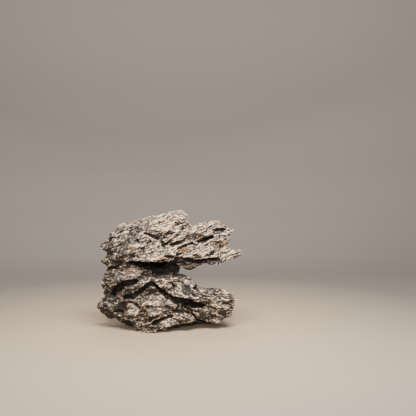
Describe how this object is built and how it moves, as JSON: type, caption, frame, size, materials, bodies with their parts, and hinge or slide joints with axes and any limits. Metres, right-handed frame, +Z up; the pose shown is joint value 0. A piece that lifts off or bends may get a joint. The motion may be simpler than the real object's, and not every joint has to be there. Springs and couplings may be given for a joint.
{
  "type": "seiryu stone",
  "caption": "C-shaped piece of folded grey limestone with an overhanging upper lobe, a broad foot and a through gap between them, for a planted tank or garden layout.",
  "frame": {"origin": "under the middle of the stone's bounding box, on the surface that the flat base rests on", "axes": "+X along the longest side towards the open end of the gap, -Y out of the front as pictured, +Z up"},
  "size_m": [0.2632, 0.1466, 0.2077],
  "materials": {
    "weathered_limestone": "matt, rough and pitted, with paler crust on the tops and pale veins"
  },
  "bodies": {
    "root": {"seiryu_stone": "weathered_limestone"}
  },
  "joints": []
}
